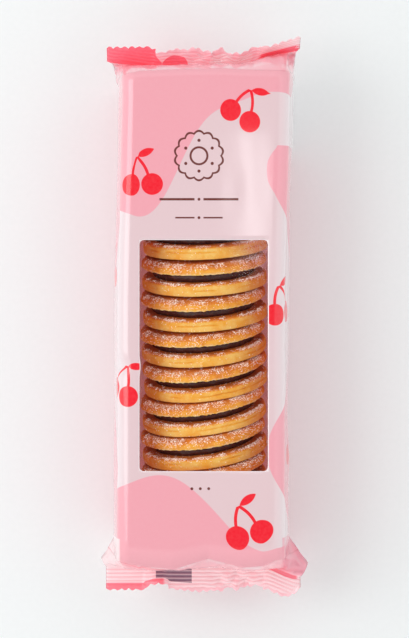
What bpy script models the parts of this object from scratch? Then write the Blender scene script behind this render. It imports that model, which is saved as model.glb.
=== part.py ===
"""Flow-wrapped pack of jam sandwich biscuits, lying on its back with the window up.

Metres, +Z up, +Y towards the head of the pack. The origin is the middle of the pack's
bounding box at the level of the surface it lies on.
"""

import math
import random
from collections import namedtuple

import bmesh
import bpy
import numpy as np

# Film wrapper
PACK_HEIGHT = 0.0526
EDGE_HALF_WIDTH = 0.0312  # at the folds along the top and bottom panels
SIDE_BULGE = 0.0031  # how far the sides belly out at half height
FOLD_RADIUS = 0.0042
PANEL_HALF_LENGTH = 0.0935
FILM = 0.0007
HEAD_SHIFT = 0.0019  # the head of the pack stands this far to the right of the foot
FOOT_OFFSET = -0.0013

# Crimped end seals
SEAL_THICKNESS = 0.0008
CRIMP_HEIGHT = 0.00025  # the crimped lines stand this far to either side
TOOTH_DEPTH = 0.0011
WALL_PUFF = 0.0012
EAR_DROOP = 1.4  # above 1 the ends' corners stick out nearer to the seal

# An end of the pack: which way it faces, how far from the middle its corners reach, how far
# before the panel's end they leave the sides, and its seal as places across the pack, each
# with the distance along the pack and the height where the seal starts, and then where its
# cut edge is
End = namedtuple("End", "side reach start seal")
HEAD = End(
    side=1,
    reach=0.0352,
    start=0.003,
    seal=(
        (-0.0380, 0.1004, 0.0290, 0.1054, 0.0320),
        (-0.0215, 0.0980, 0.0280, 0.1053, 0.0335),
        (-0.0170, 0.0980, 0.0285, 0.1028, 0.0345),
        (-0.0120, 0.0980, 0.0280, 0.1044, 0.0335),
        (-0.0020, 0.0980, 0.0275, 0.1048, 0.0335),
        (0.0025, 0.0980, 0.0275, 0.1031, 0.0345),
        (0.0070, 0.0980, 0.0275, 0.1044, 0.0335),
        (0.0130, 0.0984, 0.0280, 0.1020, 0.0360),
        (0.0195, 0.1000, 0.0295, 0.1054, 0.0360),
        (0.0240, 0.1022, 0.0310, 0.1046, 0.0400),
        (0.0370, 0.1050, 0.0335, 0.1084, 0.0430),
    ),
)
FOOT = End(
    side=-1,
    reach=0.0406,
    start=0.009,
    seal=(
        (-0.0385, 0.0968, 0.0262, 0.1056, 0.0260),
        (-0.0240, 0.0966, 0.0262, 0.1056, 0.0265),
        (-0.0200, 0.0964, 0.0264, 0.1031, 0.0290),
        (-0.0160, 0.0964, 0.0264, 0.1029, 0.0295),
        (-0.0130, 0.0964, 0.0262, 0.1052, 0.0265),
        (-0.0020, 0.0966, 0.0258, 0.1067, 0.0245),
        (0.0120, 0.0966, 0.0260, 0.1053, 0.0255),
        (0.0210, 0.0966, 0.0262, 0.1040, 0.0260),
        (0.0250, 0.0962, 0.0266, 0.1056, 0.0262),
        (0.0310, 0.0988, 0.0272, 0.1084, 0.0266),
        (0.0345, 0.1002, 0.0276, 0.1076, 0.0274),
        (0.0375, 0.1008, 0.0278, 0.1046, 0.0285),
    ),
)

# Clear window in the print
WINDOW_WIDTH = 0.0488
WINDOW_LENGTH = 0.0878
WINDOW_CENTRE = (-0.0003, -0.0139)
WINDOW_CORNER = 0.0017
PANE_THICKNESS = 0.0006
GAP = 0.0003  # between touching pieces

# Sandwich biscuits: each a jam layer between two round biscuits
BISCUIT_RADIUS = 0.0240
BISCUIT_RADIUS_SPREAD = 0.0003  # how much smaller some biscuits are
BISCUIT_SLIDE = 0.0002  # how far a biscuit may lie to either side
BISCUIT_DOME = 0.0003
TOP_SHARE = 0.45  # of a sandwich's biscuit, how much is in its top biscuit
# A biscuit's rounded rim: distances in from its radius and down from its domed face
RIM = ((0.0030, 0.0001), (0.0010, 0.0009), (0.0001, 0.0020))
# The lower part of its side: distances in from its radius and up from its flat face
LOWER_SIDE = ((0.0, 0.0014), (0.0003, 0.0004), (0.0012, 0.0))
JAM_RADIUS = 0.0206
JAM_RADIUS_SPREAD = 0.0006
JAM_SLIDE = 0.0006
JAM_THICKNESS = 0.0024
JAM_BULGE = 0.0004
LAYER_GAP = 0.0004
CRUMB_RELIEF = 0.0003
CRUMB_SIZE = 0.004
ROUND_STEPS = 30
ROW_CENTRE_X = -0.0002
ROW_CENTRE_HEIGHT = 0.0270
# From the head of the row to its foot: how far the faces turn up, the turn seen from
# above, the shift to the right, and the distance to the next sandwich
LEAN_DEG = (11.5, 12.5, 13.3, 14.0, 14.2, 13.6, 12.8, 12.2)
TURN_DEG = (2.9, 2.8, 3.6, 5.0, 6.6, 7.6, 7.8, 8.0)
SHIFT = (0.0002, 0.0, -0.0001, -0.0004, 0.0002, -0.0003, -0.0001, 0.0)
PITCH = (0.0141, 0.0133, 0.0133, 0.0131, 0.0131, 0.0131, 0.0132)
FIRST_Y = 0.0343

# Clear tray that holds the row
TRAY_INNER_RADIUS = 0.0252
TRAY_WALL = 0.0006
TRAY_RIM_HEIGHT = 0.0470
TRAY_RIM_ROUNDING = 0.0008
TRAY_FLANGE_HALF_WIDTH = 0.0283
TRAY_LIP = 0.0025
TRAY_STEPS = 14

# Space in the pack for the tray and the row
WELL_END_MARGIN = 0.0010
WELL_CORNER = 0.0035

# Number of steps round the film's girth, and of rings along the pack
SIDE_STEPS = 3
FOLD_STEPS = 3
PANEL_STEPS = 38
BODY_RINGS = 8
WALL_RINGS = 4
SEAL_RINGS = 7


def clear_scene():
    for thing in list(bpy.data.objects):
        bpy.data.objects.remove(thing, do_unlink=True)


def new_collection(name):
    made = bpy.data.collections.new(name)
    bpy.context.scene.collection.children.link(made)
    return made


def material(name, colour, roughness, alpha=1.0):
    made = bpy.data.materials.new(name)
    made.use_nodes = True
    shader = made.node_tree.nodes["Principled BSDF"]
    shader.inputs["Base Color"].default_value = (*colour, 1.0)
    shader.inputs["Roughness"].default_value = roughness
    shader.inputs["Metallic"].default_value = 0.0
    shader.inputs["Alpha"].default_value = alpha
    return made


def add_object(name, mesh, collection, look=None):
    made = bpy.data.objects.new(name, mesh)
    collection.objects.link(made)
    if look:
        mesh.materials.append(look)
    return made


def smooth_step(value):
    t = min(max(value, 0.0), 1.0)
    return t * t * (3.0 - 2.0 * t)


def centre_line(y):
    """How far the pack's middle stands to the right at y: the pack is a little skewed."""
    return FOOT_OFFSET + HEAD_SHIFT * smooth_step(y / PANEL_HALF_LENGTH)


def girth_stations():
    """Round the film once, from half height on the left over the top to the right and back under.

    Each station is (across, height, share, upper): a place on the folded section, from -1 to 1
    across and up, and share, 0 on the flat panel and 1 at half height on the side.
    """
    half_flat = EDGE_HALF_WIDTH - FOLD_RADIUS
    half_height = PACK_HEIGHT / 2
    side = half_height - FOLD_RADIUS
    fold = FOLD_RADIUS * math.pi / 2
    quarter = []  # from half height on the side up to the flat panel's end
    for i in range(SIDE_STEPS):
        z = side * i / SIDE_STEPS
        quarter.append((EDGE_HALF_WIDTH, z, 1.0 - z / (side + fold)))
    for i in range(FOLD_STEPS + 1):
        angle = math.pi / 2 * i / FOLD_STEPS
        across = half_flat + FOLD_RADIUS * math.cos(angle)
        height = side + FOLD_RADIUS * math.sin(angle)
        quarter.append((across, height, (1.0 - i / FOLD_STEPS) * fold / (side + fold)))
    flat = [
        (half_flat * (2.0 * i / PANEL_STEPS - 1.0), half_height, 0.0)
        for i in range(1, PANEL_STEPS)
    ]
    left = [(-across, height, share) for across, height, share in quarter]
    upper = left + flat + quarter[::-1]
    lower = [(across, -height, share) for across, height, share in upper[-2:0:-1]]
    return [(*s, True) for s in upper] + [(*s, False) for s in lower]


def body_point(station, y):
    across, height, _, _ = station
    belly = SIDE_BULGE * (1.0 - (2.0 * height / PACK_HEIGHT) ** 2)
    side = across / EDGE_HALF_WIDTH
    x = across + belly * side * abs(side) + centre_line(y)
    return (x, y, height + PACK_HEIGHT / 2)


def seal_across(station, end):
    """Where across the seal a station of the film ends up."""
    across, _, share, _ = station
    half_flat = EDGE_HALF_WIDTH - FOLD_RADIUS
    if share == 0.0:
        return across
    limit = abs(end.seal[-1 if across > 0.0 else 0][0])
    return math.copysign(half_flat + share * (limit - half_flat), across)


def seal_point(station, row, end, tooth=0.0):
    """A point on the crimped seal: row 0 leaves the pack and the last is the cut edge."""
    _, _, share, upper = station
    x = seal_across(station, end)
    places = [place[0] for place in end.seal]
    start_y, start_z, edge_y, edge_z = (
        float(np.interp(x, places, values)) for values in list(zip(*end.seal))[1:]
    )
    along = row / SEAL_RINGS
    y = start_y + (edge_y + tooth - start_y) * along
    z = start_z + (edge_z - start_z) * along
    if 0 < row < SEAL_RINGS:
        z += CRIMP_HEIGHT * (-1) ** row
    half = SEAL_THICKNESS / 2 * (1.0 - share**4)
    return (x, end.side * y, z + (half if upper else -half))


def wall_point(station, down, end):
    """A point on the end wall: down is 0 at the panel's end and 1 at the seal."""
    _, _, share, _ = station
    body_y = PANEL_HALF_LENGTH - end.start * share**2
    bx, _, bz = body_point(station, end.side * body_y)
    sx, sy, sz = seal_point(station, 0, end)
    puff = math.sin(math.pi * down)
    x = bx + (sx - bx) * down
    ear = math.sin(math.pi * down**EAR_DROOP) * share**2
    x += (math.copysign(end.reach, sx) - x) * ear
    y = body_y + (abs(sy) - body_y) * down + WALL_PUFF * puff
    z = bz + (sz - bz) * down
    return (x, end.side * y, z)


def end_rings(end, stations):
    """Rings of the film from the panel's end to the cut edge, with teeth in the last one."""
    rings = []
    for i in range(WALL_RINGS):
        rings.append([wall_point(s, i / WALL_RINGS, end) for s in stations])
    for row in range(SEAL_RINGS):
        rings.append([seal_point(s, row, end) for s in stations])
    cut_edge = []
    for n, s in enumerate(stations):
        tooth = TOOTH_DEPTH / 2 * (-1) ** n
        cut_edge.append(seal_point(s, SEAL_RINGS, end, tooth))
    return rings + [cut_edge]


def wrapper_mesh():
    """The film as one closed loft: a soft box between two flat, toothed seals."""
    stations = girth_stations()
    foot = end_rings(FOOT, stations)
    head = end_rings(HEAD, stations)
    first, last = FOOT.start - PANEL_HALF_LENGTH, PANEL_HALF_LENGTH - HEAD.start
    body = [
        [body_point(s, first + (last - first) * i / (BODY_RINGS - 1)) for s in stations]
        for i in range(BODY_RINGS)
    ]
    rings = foot[::-1] + body + head
    made = bmesh.new()
    grid = [[made.verts.new(p) for p in ring] for ring in rings]
    count = len(stations)
    for near, far in zip(grid, grid[1:]):
        for i in range(count):
            j = (i + 1) % count
            made.faces.new((near[i], near[j], far[j], far[i]))
    for ring in (grid[0], grid[-1]):
        close_seal(made, ring)
    bmesh.ops.recalc_face_normals(made, faces=made.faces)
    mesh = bpy.data.meshes.new("wrapper")
    made.to_mesh(mesh)
    made.free()
    return mesh


def close_seal(made, ring):
    """Joins the two layers of film along the cut edge."""
    count = len(ring)
    for i in range(count // 2):
        above, below = (ring[i], ring[i + 1]), (ring[-i - 1], ring[-i])
        corners = [above[0], above[1], below[0], below[1] if i else ring[0]]
        made.faces.new(dict.fromkeys(corners))


def prism_mesh(name, outline, low_y, high_y):
    """A prism along the pack, from its outline of (across, height) points."""
    made = bmesh.new()
    face = made.faces.new([made.verts.new((x, low_y, z)) for x, z in outline])
    grown = bmesh.ops.extrude_face_region(made, geom=[face])["geom"]
    moved = [v for v in grown if isinstance(v, bmesh.types.BMVert)]
    bmesh.ops.translate(made, verts=moved, vec=(0.0, high_y - low_y, 0.0))
    bmesh.ops.recalc_face_normals(made, faces=made.faces)
    mesh = bpy.data.meshes.new(name)
    made.to_mesh(mesh)
    made.free()
    return mesh


def arc(centre, radius, start_deg, stop_deg, steps):
    """Points of an arc in a plane, both ends included."""
    turns = [math.radians(start_deg + (stop_deg - start_deg) * i / steps) for i in range(steps + 1)]
    return [(centre[0] + radius * math.cos(t), centre[1] + radius * math.sin(t)) for t in turns]


def well_mesh(well):
    """The space for the tray and the row: a trough with a wider top under the film."""
    middle = (ROW_CENTRE_X, ROW_CENTRE_HEIGHT)
    trough = arc(middle, TRAY_INNER_RADIUS + TRAY_WALL + GAP, 0.0, -180.0, TRAY_STEPS)
    shoulder = TRAY_RIM_HEIGHT - TRAY_LIP - GAP
    half_width = TRAY_FLANGE_HALF_WIDTH + GAP
    top = PACK_HEIGHT - FILM
    left, right = ROW_CENTRE_X - half_width, ROW_CENTRE_X + half_width
    left_corner = arc((left + WELL_CORNER, top - WELL_CORNER), WELL_CORNER, 180.0, 90.0, 4)
    right_corner = arc((right - WELL_CORNER, top - WELL_CORNER), WELL_CORNER, 90.0, 0.0, 4)
    outline = trough + [(trough[-1][0], shoulder), (left, shoulder)] + left_corner
    outline += right_corner + [(right, shoulder), (trough[0][0], shoulder)]
    return prism_mesh("well", outline, *well)


def window_mesh(name, inset, low_z, high_z):
    """A block in the window's place, its upright edges rounded."""
    size = (WINDOW_WIDTH - 2 * inset, WINDOW_LENGTH - 2 * inset, high_z - low_z)
    centre = (*WINDOW_CENTRE, (low_z + high_z) / 2)
    made = bmesh.new()
    bmesh.ops.create_cube(made, size=1.0)
    bmesh.ops.scale(made, verts=made.verts, vec=size)
    bmesh.ops.translate(made, verts=made.verts, vec=centre)
    upright = [e for e in made.edges if e.verts[0].co.xy == e.verts[1].co.xy]
    bmesh.ops.bevel(
        made, geom=upright, offset=WINDOW_CORNER, segments=4, profile=0.5, affect="EDGES"
    )
    mesh = bpy.data.meshes.new(name)
    made.to_mesh(mesh)
    made.free()
    return mesh


def add_cutter(mesh, cutters, target):
    cutter = add_object(mesh.name, mesh, cutters)
    cutter.hide_render = True
    cutter.display_type = "WIRE"
    cut = target.modifiers.new(mesh.name, "BOOLEAN")
    cut.operation = "DIFFERENCE"
    cut.solver = "EXACT"
    cut.object = cutter


def add_wrapper(parts, cutters, look, well):
    wrapper = add_object("wrapper", wrapper_mesh(), parts, look)
    add_cutter(well_mesh(well), cutters, wrapper)
    window = window_mesh("window", 0.0, PACK_HEIGHT - 3 * FILM, PACK_HEIGHT + FILM)
    add_cutter(window, cutters, wrapper)
    wrapper.data.shade_smooth()
    wrapper.data.set_sharp_from_angle(angle=math.radians(35))


def turned_mesh(name, profile):
    """An open profile of (radius, height) points, from the axis to the axis, as loose edges."""
    made = bmesh.new()
    points = [made.verts.new((radius, 0.0, height)) for radius, height in profile]
    for a, b in zip(points, points[1:]):
        made.edges.new((a, b))
    mesh = bpy.data.meshes.new(name)
    made.to_mesh(mesh)
    made.free()
    return mesh


def biscuit_profile(radius, thickness):
    """From the middle of the domed face down the rounded rim to the middle of the flat face."""
    rim = [(radius - inward, thickness - down) for inward, down in RIM]
    side = [(radius - inward, up) for inward, up in LOWER_SIDE]
    return [(0.0, thickness + BISCUIT_DOME), *rim, *side, (0.0, 0.0)]


def jam_profile(radius, thickness):
    return (
        (0.0, thickness),
        (radius - JAM_BULGE, thickness),
        (radius, thickness / 2),
        (radius - JAM_BULGE, 0.0),
        (0.0, 0.0),
    )


def add_turned(name, profile, parts, look, sandwich, level, shift, relief=None):
    """A turned layer of a sandwich, at its level along the sandwich's axis."""
    layer = add_object(name, turned_mesh(name, profile), parts, look)
    layer.parent = sandwich
    layer.location = (shift, 0.0, level)
    turn = layer.modifiers.new("turn", "SCREW")
    turn.angle = math.tau
    turn.steps = turn.render_steps = ROUND_STEPS
    turn.use_merge_vertices = True
    turn.merge_threshold = 0.00005
    turn.use_normal_calculate = True
    if relief:
        crumb = layer.modifiers.new("crumb", "DISPLACE")
        crumb.texture = relief
        crumb.texture_coords = "GLOBAL"
        crumb.strength = CRUMB_RELIEF
        crumb.mid_level = 0.5
    return layer


def row_places():
    """Each sandwich's place across and along the pack, its lean and turn, and how thick its
    top and bottom biscuits are.
    """
    turned = [(math.radians(lean), math.radians(turn)) for lean, turn in zip(LEAN_DEG, TURN_DEG)]
    rooms = []  # along the axis of both neighbours, with what their unlike slants take
    for near, far, pitch in zip(turned, turned[1:], PITCH):
        unlike = math.hypot(near[0] - far[0], near[1] - far[1])
        room = pitch * math.cos(near[0]) * math.cos(near[1])
        rooms.append(room - GAP - CRUMB_RELIEF / 2 - BISCUIT_RADIUS * unlike / 2)
    places, y = [], FIRST_Y
    for n, (tilt, spin) in enumerate(turned):
        room = min(rooms[max(n - 1, 0) : n + 1])
        biscuit = room - JAM_THICKNESS - 2 * (LAYER_GAP + BISCUIT_DOME)
        thick = (biscuit * TOP_SHARE, biscuit * (1.0 - TOP_SHARE))
        places.append((ROW_CENTRE_X + SHIFT[n], y, tilt, spin, thick))
        y -= PITCH[n] if n < len(PITCH) else 0.0
    return places


def add_sandwich(number, place, parts, looks, relief, draw):
    """A sandwich on edge: its axis points to the head of the pack and a little up."""
    x, y, tilt, spin, (top, bottom) = place
    sandwich = bpy.data.objects.new(f"sandwich_{number}", None)
    parts.objects.link(sandwich)
    sandwich.rotation_euler = (tilt - math.pi / 2, 0.0, spin)
    sandwich.location = (x, y, ROW_CENTRE_HEIGHT)
    bottom_level = -(JAM_THICKNESS / 2 + LAYER_GAP + BISCUIT_DOME + bottom)
    top_level = JAM_THICKNESS / 2 + LAYER_GAP
    layers = (("bottom", bottom, bottom_level), ("top", top, top_level))
    for part, thickness, level in layers:
        radius = BISCUIT_RADIUS - draw.uniform(0.0, BISCUIT_RADIUS_SPREAD)
        shift = draw.uniform(-BISCUIT_SLIDE, BISCUIT_SLIDE)
        profile = biscuit_profile(radius, thickness)
        name = f"biscuit_{number}_{part}"
        add_turned(name, profile, parts, looks["biscuit"], sandwich, level, shift, relief)
    profile = jam_profile(JAM_RADIUS - draw.uniform(0.0, JAM_RADIUS_SPREAD), JAM_THICKNESS)
    shift = draw.uniform(-JAM_SLIDE, JAM_SLIDE)
    name = f"jam_{number}"
    level = -JAM_THICKNESS / 2
    add_turned(name, profile, parts, looks["jam"], sandwich, level, shift)


def add_tray(parts, look, well):
    """A clear trough, round below and flanged above, bent from one sheet."""
    bend = TRAY_INNER_RADIUS + TRAY_WALL / 2
    flange = TRAY_FLANGE_HALF_WIDTH - TRAY_WALL / 2
    rim = TRAY_RIM_HEIGHT
    half = [(flange, rim - TRAY_LIP), (flange, rim)]
    half += [(bend + TRAY_RIM_ROUNDING, rim), (bend, rim - TRAY_RIM_ROUNDING)]
    trough = arc((0.0, ROW_CENTRE_HEIGHT), bend, 0.0, -180.0, TRAY_STEPS)
    outline = half + trough + [(-x, z) for x, z in half[::-1]]
    made = bmesh.new()
    ends = (well[0] + GAP, well[1] - GAP)
    rows = [[made.verts.new((ROW_CENTRE_X + x, y, z)) for x, z in outline] for y in ends]
    for i in range(len(outline) - 1):
        made.faces.new((rows[0][i], rows[0][i + 1], rows[1][i + 1], rows[1][i]))
    mesh = bpy.data.meshes.new("tray")
    made.to_mesh(mesh)
    made.free()
    tray = add_object("tray", mesh, parts, look)
    wall = tray.modifiers.new("wall", "SOLIDIFY")
    wall.thickness = TRAY_WALL
    wall.offset = 0.0
    wall.use_even_offset = True


def well_ends(places):
    """Where the space for the row ends: past the rims of the first and last sandwich."""
    reach = []
    for _, y, tilt, spin, thick in (places[0], places[-1]):
        slant = BISCUIT_RADIUS * (math.sin(tilt) + math.sin(spin))
        reach.append((y, max(thick) + JAM_THICKNESS + slant + WELL_END_MARGIN))
    return reach[1][0] - reach[1][1], reach[0][0] + reach[0][1]


def main():
    clear_scene()
    parts = new_collection("biscuit_pack")
    cutters = new_collection("cutters")
    looks = {
        "film": material("printed_film", (0.86, 0.60, 0.64), 0.30),
        "pane": material("clear_film", (0.95, 0.95, 0.95), 0.08, alpha=0.2),
        "tray": material("clear_tray", (0.90, 0.84, 0.85), 0.15, alpha=0.35),
        "biscuit": material("biscuit", (0.72, 0.38, 0.12), 0.80),
        "jam": material("jam", (0.06, 0.015, 0.015), 0.30),
    }
    places = row_places()
    well = well_ends(places)
    add_wrapper(parts, cutters, looks["film"], well)
    pane = window_mesh("window_film", GAP, PACK_HEIGHT - PANE_THICKNESS, PACK_HEIGHT)
    add_object("window_film", pane, parts, looks["pane"])
    add_tray(parts, looks["tray"], well)
    relief = bpy.data.textures.new("crumb", "CLOUDS")
    relief.noise_scale = CRUMB_SIZE
    draw = random.Random(7)
    for number, place in enumerate(places, start=1):
        add_sandwich(number, place, parts, looks, relief, draw)


main()
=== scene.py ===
"""Looks of a flow-wrapped pack of jam sandwich biscuits, seen from straight above."""

import math

import bpy
import numpy as np
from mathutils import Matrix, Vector


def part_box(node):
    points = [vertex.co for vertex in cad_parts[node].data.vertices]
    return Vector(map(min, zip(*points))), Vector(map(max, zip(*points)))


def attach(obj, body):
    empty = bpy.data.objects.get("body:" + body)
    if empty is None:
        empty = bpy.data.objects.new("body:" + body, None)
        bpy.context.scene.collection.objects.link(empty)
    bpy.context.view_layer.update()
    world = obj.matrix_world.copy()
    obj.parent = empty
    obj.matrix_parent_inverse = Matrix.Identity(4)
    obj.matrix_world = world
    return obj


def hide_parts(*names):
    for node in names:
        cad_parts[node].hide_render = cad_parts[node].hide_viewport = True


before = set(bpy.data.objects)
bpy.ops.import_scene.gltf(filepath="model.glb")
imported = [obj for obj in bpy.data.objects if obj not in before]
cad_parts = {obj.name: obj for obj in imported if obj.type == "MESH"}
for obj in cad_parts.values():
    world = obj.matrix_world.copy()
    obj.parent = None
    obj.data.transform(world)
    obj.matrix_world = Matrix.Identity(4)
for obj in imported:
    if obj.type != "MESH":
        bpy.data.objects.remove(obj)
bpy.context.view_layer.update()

MM = 0.001

# The film's form, as in the solids apart from the ends' crease, pleats and crushed part
PACK_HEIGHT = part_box("wrapper")[1].z
EDGE_HALF_WIDTH = 0.0312
SIDE_BULGE = 0.0031
FOLD_RADIUS = 0.0042
HALF_FLAT = EDGE_HALF_WIDTH - FOLD_RADIUS
PANEL_HALF_LENGTH = 0.0935
HEAD_SHIFT = 0.0019
FOOT_OFFSET = -0.0013
WALL_PUFF = 0.0012
EAR_DROOP = 1.4  # above 1 the ends' corners stick out nearer to the seal
# Places across each seal, with the distance along the pack and the height where the seal
# starts, and then where its cut edge is
HEAD = {
    "side": 1,
    "reach": 0.0352,
    "start": 0.003,
    # Where the panel ends: place across and how far beyond its usual length
    "crease": (
        (-32.5, -0.8), (-24.5, 0.6), (-5.5, 1.5), (7.8, 1.7), (21.0, 1.0), (28.0, 0.6),
    ),
    "seal": (
        (-0.0380, 0.1004, 0.0290, 0.1054, 0.0320),
        (-0.0215, 0.0980, 0.0280, 0.1053, 0.0335),
        (-0.0170, 0.0980, 0.0285, 0.1028, 0.0345),
        (-0.0120, 0.0980, 0.0280, 0.1044, 0.0335),
        (-0.0020, 0.0980, 0.0275, 0.1048, 0.0335),
        (0.0025, 0.0980, 0.0275, 0.1031, 0.0345),
        (0.0070, 0.0980, 0.0275, 0.1044, 0.0335),
        (0.0130, 0.0984, 0.0280, 0.1020, 0.0360),
        (0.0195, 0.1000, 0.0295, 0.1054, 0.0360),
        (0.0240, 0.1022, 0.0310, 0.1046, 0.0400),
        (0.0370, 0.1050, 0.0335, 0.1084, 0.0430),
    ),
    # Folds in the seal: place across, width, how far they overlap
    "pleats": ((-0.0190, 0.0016, 0.0016), (0.0030, 0.0016, 0.0012), (0.0215, 0.0016, 0.0020)),
    "crushed": (0.0060, 0.0140),  # the middle and half width of its crumpled part
}
FOOT = {
    "side": -1,
    "reach": 0.0406,
    "start": 0.009,
    "crease": (
        (-34.0, -1.6), (-20.7, 0.6), (-10.5, 1.6), (2.7, -2.6), (15.8, 0.9), (23.4, 0.3),
        (28.3, -1.9),
    ),
    "seal": (
        (-0.0385, 0.0968, 0.0262, 0.1056, 0.0260),
        (-0.0240, 0.0966, 0.0262, 0.1056, 0.0265),
        (-0.0200, 0.0964, 0.0264, 0.1031, 0.0290),
        (-0.0160, 0.0964, 0.0264, 0.1029, 0.0295),
        (-0.0130, 0.0964, 0.0262, 0.1052, 0.0265),
        (-0.0020, 0.0966, 0.0258, 0.1067, 0.0245),
        (0.0120, 0.0966, 0.0260, 0.1053, 0.0255),
        (0.0210, 0.0966, 0.0262, 0.1040, 0.0260),
        (0.0250, 0.0962, 0.0266, 0.1056, 0.0262),
        (0.0310, 0.0988, 0.0272, 0.1084, 0.0266),
        (0.0345, 0.1002, 0.0276, 0.1076, 0.0274),
        (0.0375, 0.1008, 0.0278, 0.1046, 0.0285),
    ),
    "pleats": ((-0.0235, 0.0014, 0.0014), (-0.0140, 0.0014, 0.0012), (0.0232, 0.0016, 0.0022)),
    "crushed": (0.0125, 0.0090),
}
# The film's thickness and the seals' relief
FILM = 0.08 * MM
SEAL_HALF_THICKNESS = 0.26 * MM
CRIMP_PITCH = 1.5 * MM
CRIMP_HEIGHT = 0.17 * MM
TOOTH_PITCH = 2.9 * MM
TOOTH_DEPTH = 1.0 * MM
WALL_LENGTH = PACK_HEIGHT / 2
SEAL_LENGTH = 9.5 * MM

# Window
PANE_LOW, PANE_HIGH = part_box("window_film")
GAP = 0.3 * MM
WINDOW_LOW = PANE_LOW - Vector((GAP, GAP, 0.0))
WINDOW_HIGH = PANE_HIGH + Vector((GAP, GAP, 0.0))
WINDOW_CORNER = 1.7 * MM

# The film's mesh: stations round the girth and rings along the pack
SIDE_STEPS = 10
FOLD_STEPS = 8
BESIDE_WINDOW_STEPS = 4
WINDOW_STEPS = 60
BODY_STEPS = (26, 54, 34)
WALL_STEPS = 18
SEAL_STEPS = 30

# The row of sandwiches
ROW_CENTRE_X = -0.2 * MM
ROW_CENTRE_HEIGHT = 27.0 * MM
LEAN_DEG = (11.5, 12.5, 13.3, 14.0, 14.2, 13.6, 12.8, 12.2)
TURN_DEG = (2.9, 2.8, 3.6, 5.0, 6.6, 7.6, 7.8, 8.0)
SHIFT = (0.0002, 0.0, -0.0001, -0.0004, 0.0002, -0.0003, -0.0001, 0.0)
PITCH = (0.0141, 0.0133, 0.0133, 0.0131, 0.0131, 0.0131, 0.0132)
FIRST_Y = 0.0343
BISCUIT_RADIUS = 24.2 * MM
BISCUIT_DOME = 0.3 * MM
TOP_SHARE = 0.45
JAM_RADIUS = 20.4 * MM
JAM_ROOM = 3.2 * MM  # between a sandwich's biscuits
ROUND_STEPS = 200
SUGAR_GRAINS = 2000  # on each biscuit

# Tray
TRAY_LOW, TRAY_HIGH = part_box("tray")
TRAY_INNER_RADIUS = 25.2 * MM
TRAY_RIM_ROUNDING = 0.8 * MM
TRAY_LIP = 2.5 * MM
FLUTE_PITCH = 5.1 * MM
FLUTE_DEPTH = 1.3 * MM

# Camera: straight above, as the photograph's
CAMERA_ABOVE_PACK = 0.90
VIEW_LENGTH = 0.2424  # what the frame's long side takes in at the pack's top
SENSOR = 36.0
FLOOR_REACH = 6.0
FLOOR_DROP = 0.2 * MM  # below the pack, so that the two don't meet


def lattice(ix, iy, iz, seed):
    """A fixed random number from 0 to 1 at each whole-numbered place."""
    with np.errstate(over="ignore"):
        h = ix * np.int64(374761393) + iy * np.int64(668265263) + iz * np.int64(974634777)
        h = (h + np.int64(seed) * np.int64(144664141)) & np.int64(0xFFFFFFFF)
        h = ((h ^ (h >> 13)) * np.int64(1274126177)) & np.int64(0xFFFFFFFF)
        h = h ^ (h >> 16)
    return (h & np.int64(0xFFFFFF)).astype(float) / 0xFFFFFF


def noise(points, size, seed, octaves=1):
    """Smooth noise from about -1 to 1 at points, its bumps about size apart."""
    total, weight, scale = 0.0, 0.0, 1.0
    for octave in range(octaves):
        p = np.asarray(points) * (scale / size) + 100.0
        cell = np.floor(p).astype(np.int64)
        t = p - cell
        t = t * t * (3.0 - 2.0 * t)
        value = 0.0
        for dx in (0, 1):
            for dy in (0, 1):
                for dz in (0, 1):
                    corner = lattice(
                        cell[..., 0] + dx, cell[..., 1] + dy, cell[..., 2] + dz, seed + octave
                    )
                    wx = t[..., 0] if dx else 1.0 - t[..., 0]
                    wy = t[..., 1] if dy else 1.0 - t[..., 1]
                    wz = t[..., 2] if dz else 1.0 - t[..., 2]
                    value = value + corner * wx * wy * wz
        total = total + (value * 2.0 - 1.0) / scale
        weight += 1.0 / scale
        scale *= 2.0
    return total / weight


def smooth(value):
    t = np.clip(value, 0.0, 1.0)
    return t * t * (3.0 - 2.0 * t)


def zigzag(value):
    """Straight folds between 0 and 1, one each whole number."""
    return np.abs(value % 1.0 * 2.0 - 1.0)


def bell(value):
    return np.exp(-np.square(value))


def grid_faces(rows, columns, closed):
    """Quads over a grid of rows by columns; closed joins the last column to the first."""
    across = columns if closed else columns - 1
    r, c = np.meshgrid(np.arange(rows - 1), np.arange(across), indexing="ij")
    after = (c + 1) % columns
    quads = [r * columns + c, r * columns + after, (r + 1) * columns + after, (r + 1) * columns + c]
    return np.stack(quads, axis=-1).reshape(-1, 4)


def add_object(name, data):
    made = bpy.data.objects.new(name, data)
    bpy.context.scene.collection.objects.link(made)
    return made


def new_piece(name, points, faces, looks, replaced=(), shade_flat=False):
    """A mesh object from arrays that rides on the pack."""
    mesh = bpy.data.meshes.new(name)
    mesh.from_pydata(np.asarray(points, float).tolist(), [], np.asarray(faces).tolist())
    mesh.validate()
    for look in looks:
        mesh.materials.append(look)
    if not shade_flat:
        mesh.shade_smooth()
    piece = add_object(name, mesh)
    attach(piece, "root")
    if replaced:
        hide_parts(*replaced)
    return piece


def weld_poles(piece):
    """Joins the points that a turned shape has on its axis."""
    piece.modifiers.new("poles", "WELD").merge_threshold = 1e-6


def add_values(piece, name, values):
    """Stores one number, or three, for each point of a piece, for its material to read."""
    values = np.asarray(values, np.float32)
    kind = "FLOAT" if values.ndim == 1 else "FLOAT_VECTOR"
    stored = piece.data.attributes.new(name, kind, "POINT")
    stored.data.foreach_set("value" if values.ndim == 1 else "vector", values.ravel())


# Film


def centre_line(y):
    return FOOT_OFFSET + HEAD_SHIFT * smooth(y / PANEL_HALF_LENGTH)


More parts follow.
